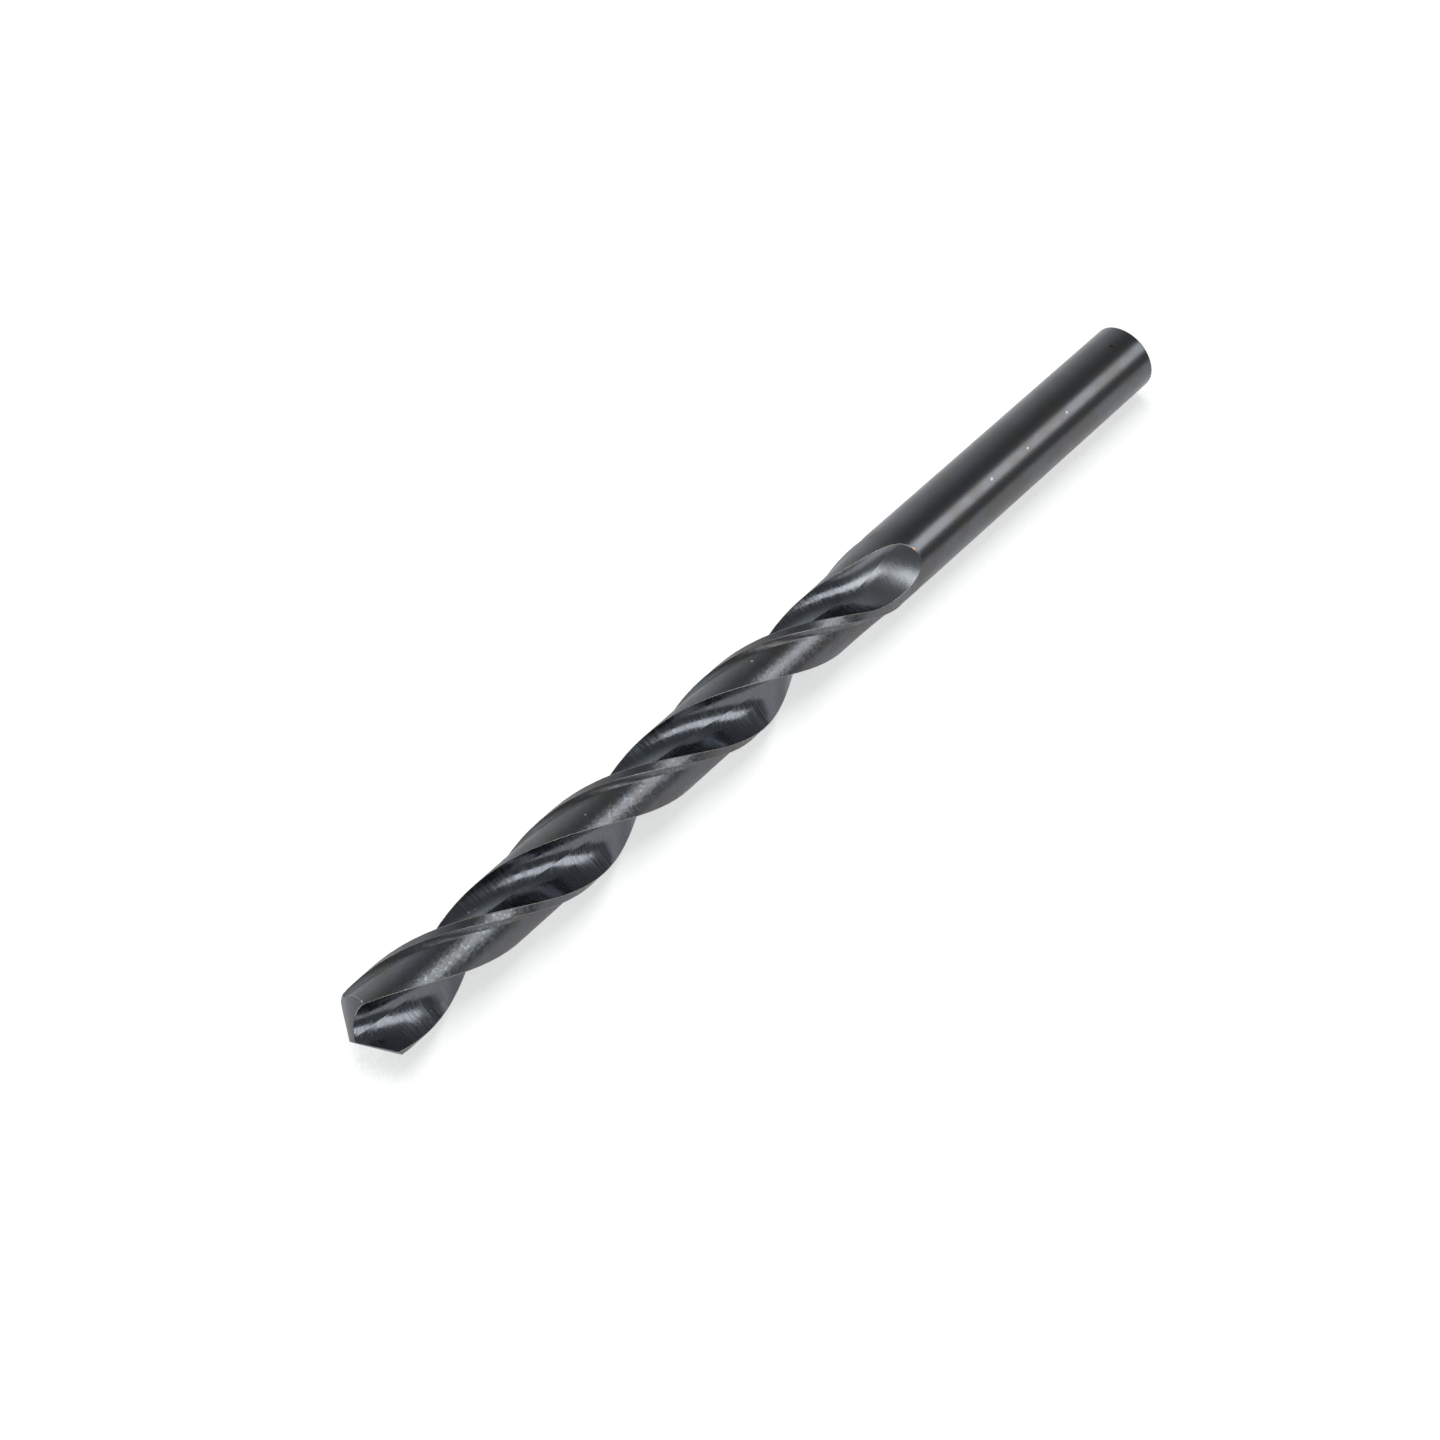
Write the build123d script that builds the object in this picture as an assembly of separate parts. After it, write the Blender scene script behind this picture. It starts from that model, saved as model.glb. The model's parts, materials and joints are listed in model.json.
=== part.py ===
from build123d import *
import math
import os

# A twist drill bit, one solid, lying along X. Sizes in mm, angles in degrees.

# The bar
drill_diameter = 8.0            # over the margins at the point
back_taper = 0.05               # the fluted body is narrower by this much where the shank begins
shank_diameter = 7.95
overall_length = 117.0          # chisel edge to the flat end of the shank
shank_chamfer = 0.3             # broken edge round the shank's end

# The flutes
helix_lead = 46.5               # one full turn of a flute
web_thickness = 1.3             # metal left between the two flutes at the point
web_growth = 0.016              # the web thickens by this much per mm toward the shank
web_angle = 124.5               # cutting edge to the deepest line of the flute
floor_radius = 3.0              # round floor between that line and the cutting face
face_radius = 20.0              # slight hollow of the cutting face
face_overrun = 1.0              # the cut's face runs on past the cutting edge by this much
land_angle = 84.0               # cutting edge to heel, seen along the axis
flute_length = 76.9             # chisel edge to the last trace of a flute
flute_run_out = 8.5             # length over which each flute rises out of the bar
flute_lift = 3.95               # how far the cut moves over that length
lift_angle = 61.0               # way in which it moves, from the cutting edge
lost_turn = 6.0                 # the helix turns this much less over that length
neck_length = 2.1               # end of the flutes to the plain shank

# The relieved lands
margin_width = 0.98             # full-diameter strip behind each edge, round the bar
margin_slope = 0.62             # from the margin down to the relieved land
relief_depth = 0.54             # land below the margin
relief_run_out = 11.0           # length over which the relieved land rises to the shank
relief_stop = 0.4               # that rise ends this far short of the flutes' end
relief_overlap = 25.0           # the relieving cut runs on past the heel by this angle
slope_sag = 0.28                # height left on the slope halfway down, of relief_depth

# The point
point_angle = 118.0
lip_relief = 12.0               # fall of the flank just behind the lip
flank_half_angle = 60.0         # each flank is a patch of a wide cone
flank_apex_offset = 2.0         # from the bar's axis to that cone's apex, along the lip

# Turn of the bar on its axis as it lies
roll_angle = 95.0

# Spacing of the sections that the cuts are drawn through
turn_step = 22.5                # turn of the helix between two sections
run_out_sections = 10           # sections in each run-out
floor_steps = 5                 # points along the floor, and along the cutting face
face_steps = 8

drill_radius = drill_diameter / 2
shank_radius = shank_diameter / 2
web_radius = web_thickness / 2
relief_radius = drill_radius - relief_depth
twist = 360.0 / helix_lead
half_point = math.radians(point_angle / 2)
lip_slope = 1 / math.tan(half_point)
lip_reach = math.sqrt(drill_radius**2 - web_radius**2)
corner_angle = -math.degrees(math.asin(web_radius / drill_radius))
corner_height = lip_reach * lip_slope
margin_angle = math.degrees(margin_width / drill_radius)
slope_angle = math.degrees(margin_slope / drill_radius)
clear_radius = 1.5 * drill_radius    # every cut reaches out to here
body_length = flute_length + neck_length
relief_length = flute_length - relief_stop


def polar(radius, angle):
    return Vector(radius * math.cos(math.radians(angle)), radius * math.sin(math.radians(angle)))


def placed(points, height, lag=0.0):
    # a section at one height, turned with the helix
    turn = corner_angle + twist * (height - corner_height) - lag
    out = []
    for point in points:
        turned = point.rotate(Axis.Z, turn)
        out.append(Vector(turned.X, turned.Y, height))
    return out


def rise(height, start, end, depth):
    # how far a grinding wheel has drawn out of the bar: an arc that starts level
    if height <= start:
        return 0.0
    return depth * ((height - start) / (end - start)) ** 2


corner = polar(drill_radius, 180.0)
heel = polar(relief_radius, land_angle)
web_direction = polar(1.0, web_angle)
along = heel.dot(web_direction)
flute_top = polar(2 * clear_radius - drill_radius, (180.0 + land_angle) / 2)
lift_direction = polar(1.0, lift_angle)
# The same parameters in every section, as splines with knots of their own make a heavy loft.
spacing = [i / (floor_steps + face_steps) for i in range(floor_steps + face_steps + 1)]


def heading(vector):
    return math.degrees(math.atan2(vector.Y, vector.X)) % 360


def arc_points(centre, radius, first, last, steps):
    return [centre + polar(radius, first + (last - first) * i / steps) for i in range(steps + 1)]


def cutting_side(web):
    # The round floor, then an arc that leaves it smoothly, holds the corner and runs on past it.
    floor_centre = web_direction * (web + floor_radius)
    reach = floor_centre - corner
    apart = face_radius - floor_radius
    forward = (face_radius**2 - apart**2 + reach.length**2) / (2 * reach.length)
    sideways = math.sqrt(face_radius**2 - forward**2)
    ahead = reach.normalized()
    face_centre = corner + ahead * forward + ahead.rotate(Axis.Z, 90) * sideways
    joint = heading(floor_centre - face_centre)
    face_end = heading(corner - face_centre) - math.degrees(face_overrun / face_radius)
    floor = arc_points(floor_centre, floor_radius, web_angle + 180, joint, floor_steps)
    face = arc_points(face_centre, face_radius, joint, face_end, face_steps)
    return floor[:-1] + face


def hollow_side(web):
    # A half circle that leaves the deepest line and passes through the heel.
    radius = (relief_radius**2 - 2 * along * web + web**2) / (2 * (along - web))
    centre = web_direction * (web + radius)
    quarter = centre + web_direction.rotate(Axis.Z, -90) * radius
    return [web_direction * web, quarter, centre + web_direction * radius]


def flute_section(height, tip):
    web = web_radius + web_growth / 2 * (height - corner_height)
    end = tip + flute_length
    shift = lift_direction * rise(height, end - flute_run_out, end, flute_lift)
    lag = rise(height, end - flute_run_out, end, lost_turn)
    cutting = placed([point + shift for point in cutting_side(web)[::-1]], height, lag)
    back = placed([point + shift for point in hollow_side(web) + [flute_top]], height, lag)
    return Wire(
        [
            Edge.make_spline(cutting, parameters=spacing),
            ThreePointArc(back[0], back[1], back[2]),
            ThreePointArc(back[2], back[3], cutting[0]),
        ]
    )


def relief_section(height, tip):
    lift = rise(height, tip + relief_length - relief_run_out, tip + relief_length, relief_depth)
    inner = relief_radius + lift
    outer = clear_radius
    start = margin_angle + slope_angle
    stop = land_angle + relief_overlap
    points = placed(
        [
            polar(outer, margin_angle),
            polar(drill_radius + lift, margin_angle),
            polar(inner + slope_sag * relief_depth, margin_angle + slope_angle / 2),
            polar(inner, start),
            polar(inner, (start + stop) / 2),
            polar(inner, stop),
            polar(outer, stop),
            polar(outer, (margin_angle + stop) / 2),
        ],
        height,
    )
    return Wire(
        [
            Line(points[0], points[1]),
            ThreePointArc(points[1], points[2], points[3]),
            ThreePointArc(points[3], points[4], points[5]),
            Line(points[5], points[6]),
            ThreePointArc(points[6], points[7], points[0]),
        ]
    )


def heights(tip, end, run_out):
    # evenly spaced sections: wide ones on the plain helix, closer ones where the cut runs out
    start = tip - drill_radius / 2
    rising = tip + end - run_out
    count = math.ceil((rising - start) * twist / turn_step)
    out = [start + (rising - start) * i / count for i in range(count)]
    step = run_out / run_out_sections
    out += [rising + step * i for i in range(run_out_sections + 1)]
    # the last section lies a step past the end, clear of the bar
    return out + [out[-1] + step]


# Each flank is a patch of a cone that holds the lip, tilted to fall away behind it.
lip = Vector(math.sin(half_point), 0, math.cos(half_point))
upright = Vector(-math.cos(half_point), 0, math.sin(half_point))
fall = math.radians(lip_relief)
inward = upright * math.cos(fall) - Vector(0, 1, 0) * math.sin(fall)
spread = math.radians(flank_half_angle)
cone_axis = lip * math.cos(spread) + inward * math.sin(spread)
cone_apex = Vector(-flank_apex_offset, -web_radius, -flank_apex_offset * lip_slope)
cone_height = 2.5 * drill_diameter
cone_tip_radius = 0.001
on_base = (Align.CENTER, Align.CENTER, Align.MIN)
cone = Cone(cone_tip_radius, cone_height * math.tan(spread), cone_height, align=on_base)
cone = Plane(origin=cone_apex, z_dir=cone_axis) * cone
spare = drill_radius            # stock left beyond the point before it is ground
point_block = Cylinder(drill_diameter, 3 * spare, align=on_base)
flank = Pos(0, 0, corner_height - 2 * spare) * point_block - cone

# The bar, with its point ground first so that its length is measured from the chisel edge.
bar = Cylinder(drill_radius, 3 * spare, align=on_base)
pointed = Pos(0, 0, -spare) * bar - flank - Rot(0, 0, 180) * flank
tip = pointed.bounding_box().min.Z

neck_radius = drill_radius - back_taper / 2
tapered = Cone(drill_radius, neck_radius, body_length, align=on_base)
shank_length = overall_length - body_length
shank = Cylinder(shank_radius, shank_length, align=on_base)
drill = Pos(0, 0, tip) * tapered + Pos(0, 0, tip + body_length) * shank
# The bar's seam is turned to lie midway between the ends of the two flutes.
last_cut = heading(web_direction * drill_radius + lift_direction * flute_lift) - lost_turn
flute_end_angle = corner_angle + twist * (tip + flute_length - corner_height) + last_cut
drill = Rot(0, 0, flute_end_angle + 90) * drill
end_edge = drill.edges().sort_by(Axis.Z)[-1]
drill = chamfer(end_edge, shank_chamfer)

flute_heights = heights(tip, flute_length, flute_run_out)
relief_heights = heights(tip, relief_length, relief_run_out)
flute = Solid(loft([Face(flute_section(z, tip)) for z in flute_heights]).wrapped)
relief = Solid(loft([Face(relief_section(z, tip)) for z in relief_heights]).wrapped)
for cut in (flute, relief, flank):
    drill = drill - cut - Rot(0, 0, 180) * cut

# Laid down: the axis along X, the shank's end at the origin, the point toward -X.
standing = Pos(0, 0, -(tip + overall_length)) * drill
lying = Plane(origin=(0, 0, 0), x_dir=(0, 0, 1), z_dir=(1, 0, 0)) * (Rot(0, 0, roll_angle) * standing)

os.makedirs("parts", exist_ok=True)
export_step(lying, "parts/twist_drill.step")
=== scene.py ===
import bpy
import json
import math
from mathutils import Matrix, Vector

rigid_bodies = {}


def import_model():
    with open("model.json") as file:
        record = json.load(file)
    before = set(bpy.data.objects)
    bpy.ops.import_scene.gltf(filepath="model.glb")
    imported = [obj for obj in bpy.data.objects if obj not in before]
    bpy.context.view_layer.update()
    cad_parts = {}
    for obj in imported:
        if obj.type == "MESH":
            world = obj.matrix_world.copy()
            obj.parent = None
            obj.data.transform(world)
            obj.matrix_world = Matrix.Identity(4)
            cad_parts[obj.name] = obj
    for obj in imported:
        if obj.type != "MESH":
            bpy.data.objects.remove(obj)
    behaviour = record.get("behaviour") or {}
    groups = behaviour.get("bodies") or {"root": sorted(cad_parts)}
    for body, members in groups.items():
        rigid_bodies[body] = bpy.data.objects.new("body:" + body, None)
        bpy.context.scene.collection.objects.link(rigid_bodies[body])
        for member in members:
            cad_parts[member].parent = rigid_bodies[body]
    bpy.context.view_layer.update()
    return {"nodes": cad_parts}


def plainScene():
    # whatever a fresh Blender opens with is cleared, so only the drill and the table are left
    for thing in list(bpy.data.objects):
        bpy.data.objects.remove(thing)


plainScene()
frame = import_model()
drill = frame["nodes"]["twist_drill"]
print("loaded the packed drill bit")


def linearColour(hexText):
    # sRGB hex to the linear numbers that shaders use
    def channel(value):
        return value / 12.92 if value <= 0.04045 else ((value + 0.055) / 1.055) ** 2.4
    parts = [int(hexText[i:i + 2], 16) / 255 for i in (1, 3, 5)]
    return tuple(channel(value) for value in parts) + (1.0,)


def addNode(tree, kind, links=None, **settings):
    # one node with its settings; links gives each socket a number, a colour, a node or a node's output
    node = tree.nodes.new(kind)
    for name, value in settings.items():
        setattr(node, name, value)
    for socket, source in (links or {}).items():
        target = node.inputs[socket]
        if isinstance(source, bpy.types.Node):
            tree.links.new(source.outputs[0], target)
        elif isinstance(source, bpy.types.NodeSocket):
            tree.links.new(source, target)
        else:
            target.default_value = source
    return node


mmPerMetre = 1000.0
bitMiddle = (-0.058, 0, 0)       # metres, about halfway along the axis

bitForm = {
    "lead": 46.5,                # mm along the bit for one turn of a flute
    "edgePhase": 74.85,          # degrees: where a cutting edge stands once the helix is taken out
    "landAngle": 84.0,           # degrees from cutting edge to heel
    "relievedRadius": 3.46,      # mm, the land behind the margin
    "wallRadius": 2.4,           # mm, about halfway up the wall of a flute
    "fluteEnd": -39.8,           # mm along the axis, where the flutes end and the shank begins
    "fluteRise": -51.3,          # mm along the axis, where the flutes begin to rise out of the bar
    "pointStart": -112.0,        # mm along the axis; the ground point lies beyond it
    # how one kind of surface gives way to the next
    "landBelow": (0.06, 0.01),   # mm under the relieved radius
    "landFacing": 0.44,          # least cosine between a land and straight outward
    "riseFacing": 0.90,          # the same where the flutes run out, as their walls lie flatter there
    "facingBlend": 0.07,
    "riseBlend": (-1.5, 1.5),    # mm from the start of the run-out
    "bowlBlend": (2.0, 6.0),     # mm from the start of the run-out
    "shankBlend": (-1.5, 0.5),   # mm from the flutes' end
    "pointLean": (0.55, 0.65),   # cosine between the surface and the way that the point looks
}

oxide = {
    "steam": "#66686C",          # the oxide itself: a dark neutral mirror with a cold cast
    "steamWarm": "#646363",      # patches where the bath left it less blue
    "steamBowl": "#888B8F",      # thinner film in the bowls that end the flutes
    "steamGround": "#5B5D61",    # thicker film on the freshly ground point
    "steamThin": "#8E999E",      # thin blue-grey film in the pale spots, and in flecks on the lands held to their lit side as painted glints
    "steamGrainGlint": "#93979B",     # the high grains of the lands' skin, lighter film held to the lands' lit side as painted glints
    "steamFlute": "#6C6F75",     # colder film in the flutes
    "bare": "#C6C0B5",           # steel showing along rubbed edges, slightly cream
    "bronze": "#9C9088",         # the straw-bronze fringe beside bare steel
    "straw": "#B98A66",          # a small orange spot at the rim where a bowl ends
    "rust": "#5A3B2C",           # pinhead of rust

    "shankRoughness": 0.27,
    "landRoughness": 0.37,
    "fluteRoughness": 0.19,
    "bowlRoughness": 0.28,       # where a flute runs out, cut by the side of the wheel
    "pointRoughness": 0.30,
    "markGloss": (-0.06, 0.14),  # what each pattern adds to the roughness, from its low to its high parts
    "patchGloss": (-0.02, 0.03),
    "grainGloss": (-0.08, 0.06),
    "fleckGloss": -0.05,
    "rustGloss": 0.3,

    "grainSize": 0.16,           # mm, forged and steam-oxidised skin of the lands
    "grainDepth": 0.024,         # mm
    "bowlGrain": 0.35,           # share of that depth in the bowls and on the shank
    "shankGrain": 0.05,
    "markSpacing": 0.34,         # mm between cutter marks across a flute; real ones are finer
    "markDepth": 0.005,          # mm
    "bowlMarks": 0.25,           # share of the marks that goes on into the bowls
    "markShift": 40.0,           # sets the marks of one flute apart from the other's
    "ringSpacing": 0.22,         # mm between grinding rings round the shank; drawn coarser than real
    "ringDepth": 0.0012,         # mm
    "ringStretch": 0.25,         # per mm round the shank, against one per spacing along it

    "patchesPerMm": 0.35,        # the blotches of the film
    "patchRange": (0.42, 0.58),  # of the noise, from one film colour to the other
    "speckleRange": (0.42, 0.64),
    "speckleShare": 0.45,        # how much of the thinner film's colour a high grain takes
    "flecksPerMm": 3.0,
    "fleckRange": (0.52, 0.70),
    "glintTurn": 0.60,           # radians round the bar from its top, where the lands' highlight falls and the flecks and pale grains crowd as painted glints
    "glintSpread": (0.42, 0.18),  # radians to either side of that, from none to all
    "fleckReach": (-100.0, -60.0),  # mm along the axis, over which they thin out
    "fleckFewest": 0.3,          # share of them left at the end of that reach

    "edgeWidth": 0.13,           # mm of rubbed steel and bronze on either side of an edge
    "fringeRange": (0.98, 0.91),  # cosine between the rounded and the true surface: bronze
    "bareRange": (0.92, 0.85),   # the same: bare steel
    "wearPerMm": 0.9,
    "wearRange": (0.24, 0.44),

    # small marks: the place in mm from the end of the shank, and the radius in mm
    "nicks": [((-86.5, 0.0, 3.46), 0.11), ((-62.15, 0.57, 3.4), 0.13), ((-100.4, 1.99, 0.14), 0.10),
              ((-99.8, 1.75, 0.28), 0.08), ((-114.4, 0.86, 3.35), 0.12)],
    "paleSpots": [((-27.0, -2.05, 3.41), 0.19), ((-20.9, -2.10, 3.38), 0.16), ((-14.0, -2.05, 3.41), 0.16)],
    "strawSpots": [((-40.05, -2.07, 3.39), 0.17)],
    "rustSpots": [((-3.25, 0.16, 3.97), 0.26)],
    "spotRagged": 2.0,           # times its radius, how far the grain moves a spot's rim
    "spotRim": (2.1, 1.7),       # times its radius, from none to all of a spot
}


def along(tree):
    # where a point of the surface lies on the bit: mm along, mm out, and the turn behind a cutting edge
    place = addNode(tree, "ShaderNodeTexCoord")
    split = addNode(tree, "ShaderNodeSeparateXYZ", {0: place.outputs["Object"]})
    x = addNode(tree, "ShaderNodeMath", {0: split.outputs["X"], 1: mmPerMetre}, operation="MULTIPLY")
    fromAxis = addNode(tree, "ShaderNodeVectorMath", {
        0: place.outputs["Object"], 1: (0, mmPerMetre, mmPerMetre)}, operation="MULTIPLY")
    radius = addNode(tree, "ShaderNodeVectorMath", {0: fromAxis}, operation="LENGTH").outputs["Value"]
    outward = addNode(tree, "ShaderNodeVectorMath", {0: fromAxis}, operation="NORMALIZE")
    left = addNode(tree, "ShaderNodeMath", {0: split.outputs["Y"], 1: -1.0}, operation="MULTIPLY")
    turn = addNode(tree, "ShaderNodeMath", {0: left, 1: split.outputs["Z"]}, operation="ARCTAN2")
    wound = addNode(tree, "ShaderNodeMath", {0: x, 1: -2 * math.pi / bitForm["lead"], 2: turn},
                    operation="MULTIPLY_ADD")
    behind = addNode(tree, "ShaderNodeMath", {0: wound, 1: math.radians(bitForm["edgePhase"])},
                     operation="SUBTRACT")
    phase = addNode(tree, "ShaderNodeMath", {0: behind, 1: math.pi}, operation="FLOORED_MODULO")
    halves = addNode(tree, "ShaderNodeMath", {0: behind, 1: 2 * math.pi}, operation="FLOORED_MODULO")
    side = addNode(tree, "ShaderNodeMath", {0: halves, 1: math.pi}, operation="GREATER_THAN")
    surface = addNode(tree, "ShaderNodeNewGeometry")
    facing = addNode(tree, "ShaderNodeVectorMath", {0: surface.outputs["Normal"], 1: outward},
                     operation="DOT_PRODUCT")
    lean = addNode(tree, "ShaderNodeSeparateXYZ", {0: surface.outputs["Normal"]})
    return {
        "place": place.outputs["Object"], "x": x, "radius": radius, "turn": turn,
        "phase": phase, "side": side,
        "normal": surface.outputs["Normal"], "normalX": lean.outputs["X"], "facing": facing.outputs["Value"]}


def blackOxideSteel():
    # High speed steel, milled and ground, then oxidised in steam: a thin hard film of magnetite that
    # mirrors like dark glass, blotchy blue-grey, grainy on the forged lands and rubbed bare on edges.
    material = bpy.data.materials.new("blackOxideSteel")
    material.use_nodes = True
    tree = material.node_tree
    tree.nodes.clear()
    at = along(tree)
    smooth = {"interpolation_type": "SMOOTHSTEP"}
    perMm = addNode(tree, "ShaderNodeVectorMath", {0: at["place"], "Scale": mmPerMetre}, operation="SCALE")

    # the round of the bar: far out, and facing outward, more strictly where the flutes run out
    high = addNode(tree, "ShaderNodeMapRange", {
        "Value": at["radius"], "From Min": bitForm["relievedRadius"] - bitForm["landBelow"][0],
        "From Max": bitForm["relievedRadius"] - bitForm["landBelow"][1]}, **smooth)
    rising = addNode(tree, "ShaderNodeMapRange", {
        "Value": at["x"], "From Min": bitForm["fluteRise"] + bitForm["riseBlend"][0],
        "From Max": bitForm["fluteRise"] + bitForm["riseBlend"][1]}, **smooth)
    level = addNode(tree, "ShaderNodeMath", {
        0: rising, 1: bitForm["riseFacing"] - bitForm["landFacing"], 2: bitForm["landFacing"]},
        operation="MULTIPLY_ADD")
    beyond = addNode(tree, "ShaderNodeMath", {0: at["facing"], 1: level}, operation="SUBTRACT")
    outward = addNode(tree, "ShaderNodeMapRange", {
        "Value": beyond, "From Min": 0.0, "From Max": bitForm["facingBlend"]}, **smooth)
    outer = addNode(tree, "ShaderNodeMath", {0: high, 1: outward}, operation="MULTIPLY")

    # the ground point
    towardTip = addNode(tree, "ShaderNodeMath", {0: at["normalX"], 1: -1.0}, operation="MULTIPLY")
    nearTip = addNode(tree, "ShaderNodeMath", {0: at["x"], 1: bitForm["pointStart"]}, operation="LESS_THAN")
    point = addNode(tree, "ShaderNodeMapRange", {
        "Value": towardTip, "From Min": bitForm["pointLean"][0],
        "From Max": bitForm["pointLean"][1]}, **smooth)
    point = addNode(tree, "ShaderNodeMath", {0: point, 1: nearTip}, operation="MULTIPLY")

    # the shank with its flat end, the lands, the flutes and the bowls that end them
    fluteStop = bitForm["fluteEnd"] + bitForm["shankBlend"][1]
    shank = addNode(tree, "ShaderNodeMapRange", {
        "Value": at["x"], "From Min": bitForm["fluteEnd"] + bitForm["shankBlend"][0],
        "From Max": fluteStop}, **smooth)
    land = addNode(tree, "ShaderNodeMath", {0: outer, 1: shank}, operation="SUBTRACT", use_clamp=True)
    land = addNode(tree, "ShaderNodeMath", {0: land, 1: point}, operation="SUBTRACT", use_clamp=True)
    flute = addNode(tree, "ShaderNodeMath", {0: 1.0, 1: outer}, operation="SUBTRACT", use_clamp=True)
    flute = addNode(tree, "ShaderNodeMath", {0: flute, 1: point}, operation="SUBTRACT", use_clamp=True)
    flutedPart = addNode(tree, "ShaderNodeMath", {0: at["x"], 1: fluteStop}, operation="LESS_THAN")
    flute = addNode(tree, "ShaderNodeMath", {0: flute, 1: flutedPart}, operation="MULTIPLY")
    bowl = addNode(tree, "ShaderNodeMapRange", {
        "Value": at["x"], "From Min": bitForm["fluteRise"] + bitForm["bowlBlend"][0],
        "From Max": bitForm["fluteRise"] + bitForm["bowlBlend"][1]}, **smooth)
    bowl = addNode(tree, "ShaderNodeMath", {0: bowl, 1: flute}, operation="MULTIPLY")
    milled = addNode(tree, "ShaderNodeMath", {0: bowl, 1: oxide["bowlMarks"] - 1, 2: flute},
                     operation="MULTIPLY_ADD")

    # cutter marks: lines square to the flute, along which x + bend * phase stays the same
    pull = 2 * math.pi / bitForm["lead"]
    bend = bitForm["wallRadius"] ** 2 * pull / (1 + (bitForm["wallRadius"] * pull) ** 2)
    middle = math.radians((180 + bitForm["landAngle"]) / 2)
    fromMiddle = addNode(tree, "ShaderNodeMath", {0: at["phase"], 1: middle}, operation="SUBTRACT")
    travel = addNode(tree, "ShaderNodeMath", {0: fromMiddle, 1: bend, 2: at["x"]}, operation="MULTIPLY_ADD")
    travel = addNode(tree, "ShaderNodeMath", {0: travel, 1: 1 / oxide["markSpacing"]}, operation="MULTIPLY")
    lane = addNode(tree, "ShaderNodeMath", {0: at["side"], 1: oxide["markShift"], 2: fromMiddle},
                   operation="MULTIPLY_ADD")
    markPlace = addNode(tree, "ShaderNodeCombineXYZ", {"X": travel, "Y": lane, "Z": 0.0})
    marks = addNode(tree, "ShaderNodeTexNoise", {
        "Vector": markPlace, "Scale": 1.6, "Detail": 2.0, "Roughness": 0.5, "Distortion": 0.3})
    markHeight = addNode(tree, "ShaderNodeMath", {0: marks, 1: milled}, operation="MULTIPLY")

    # grainy skin of the lands, fainter in the bowls and on the shank
    grain = addNode(tree, "ShaderNodeTexNoise", {
        "Vector": perMm, "Scale": 1 / (2 * oxide["grainSize"]), "Detail": 4.0, "Roughness": 0.65})
    grainy = addNode(tree, "ShaderNodeMath", {0: bowl, 1: oxide["bowlGrain"], 2: land},
                     operation="MULTIPLY_ADD")
    grainy = addNode(tree, "ShaderNodeMath", {0: shank, 1: oxide["shankGrain"], 2: grainy},
                     operation="MULTIPLY_ADD")
    grainHeight = addNode(tree, "ShaderNodeMath", {0: grain, 1: grainy}, operation="MULTIPLY")

    # blotches everywhere, and on the lands pale grains and flecks held to the lit side, where the highlight
    # falls: painted glints
    patches = addNode(tree, "ShaderNodeTexNoise", {
        "Vector": perMm, "Scale": oxide["patchesPerMm"], "Detail": 3.0, "Roughness": 0.55})
    gathered = addNode(tree, "ShaderNodeMapRange", {
        "Value": patches, "From Min": oxide["patchRange"][0], "From Max": oxide["patchRange"][1]}, **smooth)
    flecks = addNode(tree, "ShaderNodeTexNoise", {
        "Vector": perMm, "Scale": oxide["flecksPerMm"], "Detail": 3.0, "Roughness": 0.65})
    fleckGlint = addNode(tree, "ShaderNodeMapRange", {
        "Value": flecks, "From Min": oxide["fleckRange"][0], "From Max": oxide["fleckRange"][1]}, **smooth)
    speckleGlint = addNode(tree, "ShaderNodeMapRange", {
        "Value": grain, "From Min": oxide["speckleRange"][0], "From Max": oxide["speckleRange"][1],
        "To Max": oxide["speckleShare"]}, **smooth)
    # the lit side of the lands, round the turn where their highlight falls: the pale grains and flecks there
    # are painted glints
    fromLitSide = addNode(tree, "ShaderNodeMath", {0: at["turn"], 1: oxide["glintTurn"]}, operation="SUBTRACT")
    fromLitSide = addNode(tree, "ShaderNodeMath", {0: fromLitSide}, operation="ABSOLUTE")
    litSide = addNode(tree, "ShaderNodeMapRange", {
        "Value": fromLitSide, "From Min": oxide["glintSpread"][0],
        "From Max": oxide["glintSpread"][1]}, **smooth)
    litSide = addNode(tree, "ShaderNodeMath", {0: litSide, 1: land}, operation="MULTIPLY")
    speckleGlint = addNode(tree, "ShaderNodeMath", {0: speckleGlint, 1: litSide}, operation="MULTIPLY")
    fewer = addNode(tree, "ShaderNodeMapRange", {
        "Value": at["x"], "From Min": oxide["fleckReach"][0], "From Max": oxide["fleckReach"][1],
        "To Min": 1.0, "To Max": oxide["fleckFewest"]})
    fleckGlint = addNode(tree, "ShaderNodeMath", {0: fleckGlint, 1: litSide}, operation="MULTIPLY")
    fleckGlint = addNode(tree, "ShaderNodeMath", {0: fleckGlint, 1: fewer}, operation="MULTIPLY")

    # rings left on the shank by centreless grinding
    ringPlace = addNode(tree, "ShaderNodeVectorMath", {
        0: perMm, 1: (1 / oxide["ringSpacing"], oxide["ringStretch"], oxide["ringStretch"])},
        operation="MULTIPLY")
    rings = addNode(tree, "ShaderNodeTexNoise", {
        "Vector": ringPlace, "Scale": 0.8, "Detail": 2.0, "Roughness": 0.5})
    ringHeight = addNode(tree, "ShaderNodeMath", {0: rings, 1: shank}, operation="MULTIPLY")

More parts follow.
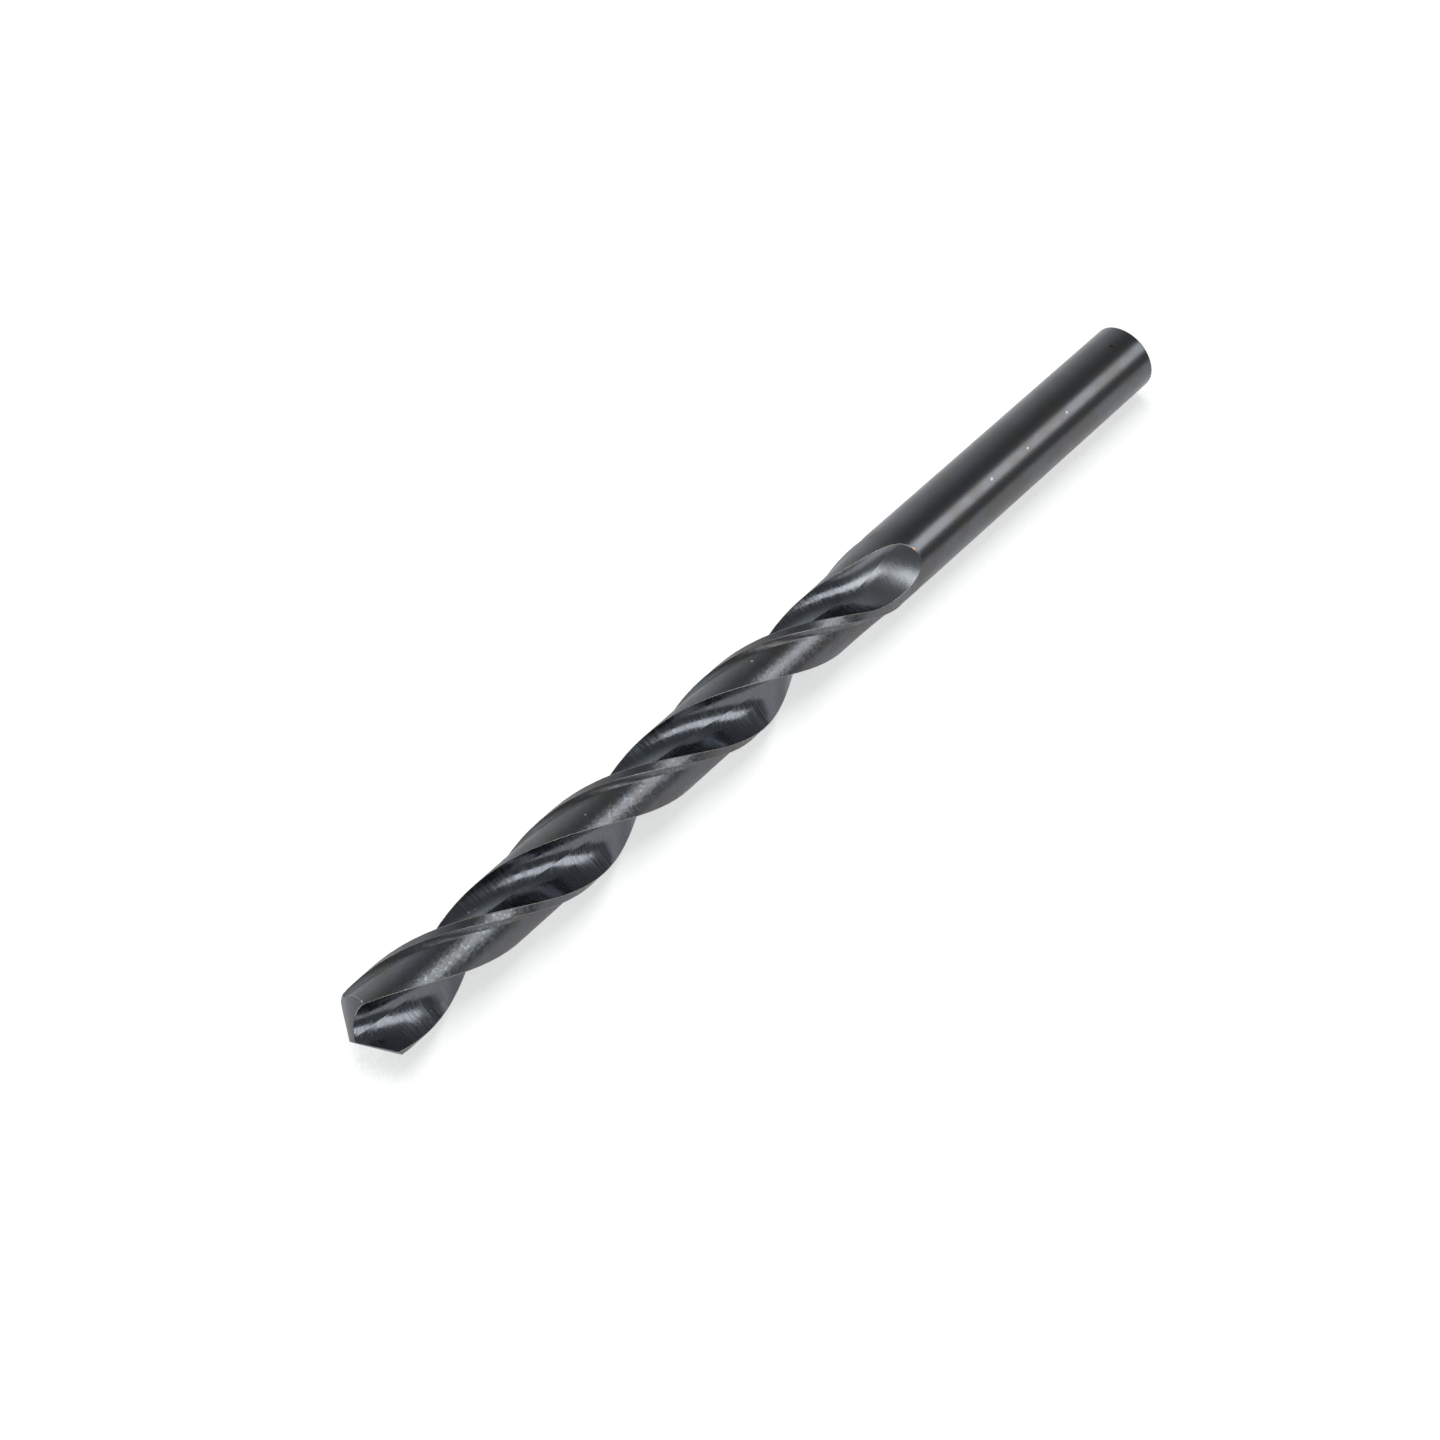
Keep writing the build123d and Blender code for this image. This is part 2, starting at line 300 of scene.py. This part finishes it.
    # edges: where a rounded normal leaves the true one, bare close to the edge and bronze beside it
    rounded = addNode(tree, "ShaderNodeBevel", {"Radius": oxide["edgeWidth"] / mmPerMetre}, samples=6)
    same = addNode(tree, "ShaderNodeVectorMath", {0: rounded, 1: at["normal"]},
                   operation="DOT_PRODUCT").outputs["Value"]
    rubbing = addNode(tree, "ShaderNodeTexNoise", {
        "Vector": perMm, "Scale": oxide["wearPerMm"], "Detail": 3.0, "Roughness": 0.6})
    worn = addNode(tree, "ShaderNodeMapRange", {
        "Value": rubbing, "From Min": oxide["wearRange"][0], "From Max": oxide["wearRange"][1]}, **smooth)
    nearEdge = addNode(tree, "ShaderNodeMapRange", {
        "Value": same, "From Min": oxide["fringeRange"][0], "From Max": oxide["fringeRange"][1]}, **smooth)
    onEdge = addNode(tree, "ShaderNodeMapRange", {
        "Value": same, "From Min": oxide["bareRange"][0], "From Max": oxide["bareRange"][1]}, **smooth)
    fringe = addNode(tree, "ShaderNodeMath", {0: nearEdge, 1: worn}, operation="MULTIPLY")
    rubbed = addNode(tree, "ShaderNodeMath", {0: onEdge, 1: worn}, operation="MULTIPLY")

    # small marks, each a ragged round
    spots = {"nicks": 0.0, "paleSpots": 0.0, "strawSpots": 0.0, "rustSpots": 0.0}
    for kind in spots:
        for centre, size in oxide[kind]:
            away = addNode(tree, "ShaderNodeVectorMath", {0: perMm, 1: centre}, operation="DISTANCE")
            ragged = addNode(tree, "ShaderNodeMath", {
                0: grain, 1: oxide["spotRagged"] * size, 2: away.outputs["Value"]}, operation="MULTIPLY_ADD")
            spot = addNode(tree, "ShaderNodeMapRange", {
                "Value": ragged, "From Min": oxide["spotRim"][0] * size,
                "From Max": oxide["spotRim"][1] * size}, **smooth)
            spots[kind] = addNode(tree, "ShaderNodeMath", {0: spots[kind], 1: spot}, operation="MAXIMUM")

    # colour, each layer over the one before
    tint = addNode(tree, "ShaderNodeMix", {
        0: gathered, 6: linearColour(oxide["steam"]), 7: linearColour(oxide["steamWarm"])}, data_type="RGBA")
    # the pale grains and flecks, held to the lit side of the lands, are painted glints
    layers = [
        (flute, "steamFlute"), (bowl, "steamBowl"), (point, "steamGround"),
        (speckleGlint, "steamGrainGlint"), (fleckGlint, "steamThin"), (fringe, "bronze"), (rubbed, "bare"),
        (spots["nicks"], "bare"), (spots["paleSpots"], "steamThin"), (spots["strawSpots"], "straw"),
        (spots["rustSpots"], "rust")]
    for amount, colour in layers:
        tint = addNode(tree, "ShaderNodeMix", {
            0: amount, 6: tint.outputs[2], 7: linearColour(oxide[colour])}, data_type="RGBA")

    # roughness: one for each kind of surface, uneven with the patterns on it
    gloss = addNode(tree, "ShaderNodeValue")
    gloss.outputs[0].default_value = oxide["shankRoughness"]
    for amount, kind in ((land, "land"), (flute, "flute"), (point, "point")):
        gloss = addNode(tree, "ShaderNodeMath", {
            0: amount, 1: oxide[kind + "Roughness"] - oxide["shankRoughness"], 2: gloss},
            operation="MULTIPLY_ADD")
    gloss = addNode(tree, "ShaderNodeMath", {
        0: bowl, 1: oxide["bowlRoughness"] - oxide["fluteRoughness"], 2: gloss}, operation="MULTIPLY_ADD")
    markGloss = addNode(tree, "ShaderNodeMapRange", {
        "Value": marks, "From Min": 0.35, "From Max": 0.65,
        "To Min": oxide["markGloss"][0], "To Max": oxide["markGloss"][1]})
    gloss = addNode(tree, "ShaderNodeMath", {0: markGloss, 1: milled, 2: gloss}, operation="MULTIPLY_ADD")
    patchGloss = addNode(tree, "ShaderNodeMapRange", {
        "Value": patches, "From Min": 0.3, "From Max": 0.7,
        "To Min": oxide["patchGloss"][0], "To Max": oxide["patchGloss"][1]})
    gloss = addNode(tree, "ShaderNodeMath", {0: gloss, 1: patchGloss}, operation="ADD")
    grainGloss = addNode(tree, "ShaderNodeMapRange", {
        "Value": grain, "From Min": 0.35, "From Max": 0.65,
        "To Min": oxide["grainGloss"][0], "To Max": oxide["grainGloss"][1]})
    for amount, share in ((grainGloss, land), (fleckGlint, oxide["fleckGloss"]),
                          (spots["rustSpots"], oxide["rustGloss"])):
        gloss = addNode(tree, "ShaderNodeMath", {0: amount, 1: share, 2: gloss}, operation="MULTIPLY_ADD")

    # height, in mm
    height = addNode(tree, "ShaderNodeMath", {0: markHeight, 1: oxide["markDepth"]}, operation="MULTIPLY")
    for relief, depth in ((grainHeight, "grainDepth"), (ringHeight, "ringDepth")):
        height = addNode(tree, "ShaderNodeMath", {0: relief, 1: oxide[depth], 2: height},
                         operation="MULTIPLY_ADD")
    bump = addNode(tree, "ShaderNodeBump", {
        "Height": height, "Distance": 1 / mmPerMetre, "Strength": 1.0, "Normal": rounded})

    shader = addNode(tree, "ShaderNodeBsdfPrincipled", {
        "Base Color": tint.outputs[2], "Metallic": 1.0, "Roughness": gloss, "Normal": bump})
    addNode(tree, "ShaderNodeOutputMaterial", {"Surface": shader})
    return material


drill.data.materials.clear()
drill.data.materials.append(blackOxideSteel())
print("finished the steel")

studio = {
    "tableSize": 3.0,
    "tableZ": -0.00403,
    "paperWhite": 0.8,
    "paperGlow": 0.63,           # of the white table, as the camera sees it
    "paperGleam": 0.45,          # of the white table, as metal mirrors it
    "paperGrain": 0.4,           # mm
    "paperGrainDepth": 0.25,     # mm
    "softboxCentre": (0.17, -0.346, 0.46),   # from the middle of the bit
    "softboxLength": 0.68,
    "softboxWidth": 0.29,
    "softboxRadiance": 2.6,
    "windowCentre": (0.05, 0.12, 0.74),      # from the middle of the bit
    "windowSize": 0.45,
    "windowRadiance": 3.4,
    "roomPale": 1.0,             # toward the far side, away from the camera
    "roomDark": 0.19,
    "roomReach": 0.9,            # how far toward that side the room has turned wholly pale
    "roomBend": 2.4,             # how late it turns pale on the way there
    "roomTint": (0.94, 1, 1.02, 1),
}


def whiteTable():
    # a sheet of uneven matt paper
    bpy.ops.mesh.primitive_plane_add(size=studio["tableSize"], location=(bitMiddle[0], 0, studio["tableZ"]))
    table = bpy.context.object
    table.name = "table"
    material = bpy.data.materials.new("whitePaper")
    material.use_nodes = True
    tree = material.node_tree
    tree.nodes.clear()
    path = addNode(tree, "ShaderNodeLightPath")
    mirrored = addNode(tree, "ShaderNodeMath", {
        0: path.outputs["Is Glossy Ray"], 1: path.outputs["Is Transmission Ray"]}, operation="MAXIMUM")
    gleam = addNode(tree, "ShaderNodeMath", {0: mirrored, 1: studio["paperGleam"]}, operation="MULTIPLY")
    lift = addNode(tree, "ShaderNodeMath", {
        0: path.outputs["Is Camera Ray"], 1: studio["paperGlow"], 2: gleam}, operation="MULTIPLY_ADD")
    place = addNode(tree, "ShaderNodeTexCoord")
    grain = addNode(tree, "ShaderNodeTexNoise", {
        "Vector": place.outputs["Object"], "Scale": mmPerMetre / (2 * studio["paperGrain"]),
        "Detail": 2.0, "Roughness": 0.6})
    uneven = addNode(tree, "ShaderNodeBump", {
        "Height": grain, "Distance": studio["paperGrainDepth"] / mmPerMetre, "Strength": 1.0})
    white = studio["paperWhite"]
    paper = addNode(tree, "ShaderNodeBsdfDiffuse", {"Color": (white, white, white, 1), "Normal": uneven})
    glow = addNode(tree, "ShaderNodeEmission", {"Color": (1, 1, 1, 1), "Strength": lift})
    both = addNode(tree, "ShaderNodeAddShader", {0: paper, 1: glow})
    addNode(tree, "ShaderNodeOutputMaterial", {"Surface": both})
    table.data.materials.append(material)
    return table


def areaLamp(name, centre, length, width, radiance, receiver):
    # a lamp aimed at the middle of the bit, long side along it, that lights one object and no other
    lamp = bpy.data.lights.new(name, "AREA")
    lamp.shape = "RECTANGLE"
    lamp.size = length
    lamp.size_y = width
    lamp.energy = radiance * math.pi * length * width
    thing = bpy.data.objects.new(name, lamp)
    bpy.context.scene.collection.objects.link(thing)
    away = Vector(centre).normalized()
    lengthwise = (Vector((1, 0, 0)) - away * away.x).normalized()
    across = away.cross(lengthwise)
    turn = Matrix((lengthwise, across, away)).transposed().to_4x4()
    thing.matrix_world = Matrix.Translation(Vector(bitMiddle) + Vector(centre)) @ turn
    lit = bpy.data.collections.new(name + "Lights")
    lit.objects.link(receiver)
    thing.light_linking.receiver_collection = lit


def roomLight():
    # a dim room that turns pale on the far side of the bit
    world = bpy.data.worlds.new("studio")
    bpy.context.scene.world = world
    world.use_nodes = True
    tree = world.node_tree
    tree.nodes.clear()
    way = addNode(tree, "ShaderNodeTexCoord")
    split = addNode(tree, "ShaderNodeSeparateXYZ", {0: way.outputs["Generated"]})
    side = addNode(tree, "ShaderNodeMath", {0: split.outputs["Y"], 1: studio["roomReach"]},
                   operation="DIVIDE", use_clamp=True)
    bent = addNode(tree, "ShaderNodeMath", {0: side, 1: studio["roomBend"]}, operation="POWER")
    ramp = addNode(tree, "ShaderNodeMapRange", {
        "Value": bent, "To Min": studio["roomDark"], "To Max": studio["roomPale"]})
    # the camera itself sees a white room
    path = addNode(tree, "ShaderNodeLightPath")
    strength = addNode(tree, "ShaderNodeMath", {0: ramp, 1: path.outputs["Is Camera Ray"]},
                       operation="MAXIMUM")
    background = addNode(tree, "ShaderNodeBackground", {"Color": studio["roomTint"], "Strength": strength})
    addNode(tree, "ShaderNodeOutputWorld", {"Surface": background})


table = whiteTable()
areaLamp("softbox", studio["softboxCentre"], studio["softboxLength"], studio["softboxWidth"],
         studio["softboxRadiance"], drill)
areaLamp("window", studio["windowCentre"], studio["windowSize"], studio["windowSize"],
         studio["windowRadiance"], table)
roomLight()
print("lit the table")

shot = {
    "place": (-0.159712, -0.085484, 0.182443),
    "azimuth": -0.8233,          # radians round from straight in front
    "elevation": 0.9694,         # radians above the table
    "lens": 55.0,                # mm
    "sensor": 36.0,              # mm
    "nearest": 0.01,
    "farthest": 10,
}


def photoCamera():
    lens = bpy.data.cameras.new("camera")
    lens.lens = shot["lens"]
    lens.sensor_width = shot["sensor"]
    lens.clip_start = shot["nearest"]
    lens.clip_end = shot["farthest"]
    camera = bpy.data.objects.new("camera", lens)
    bpy.context.scene.collection.objects.link(camera)
    a, e = shot["azimuth"], shot["elevation"]
    back = Vector((math.sin(a) * math.cos(e), -math.cos(a) * math.cos(e), math.sin(e)))
    right = Vector((math.cos(a), math.sin(a), 0))
    up = back.cross(right)
    camera.matrix_world = Matrix.Translation(shot["place"]) @ Matrix((right, up, back)).transposed().to_4x4()
    bpy.context.scene.camera = camera


photoCamera()
bpy.context.scene.view_settings.view_transform = "Standard"
print("placed the camera")
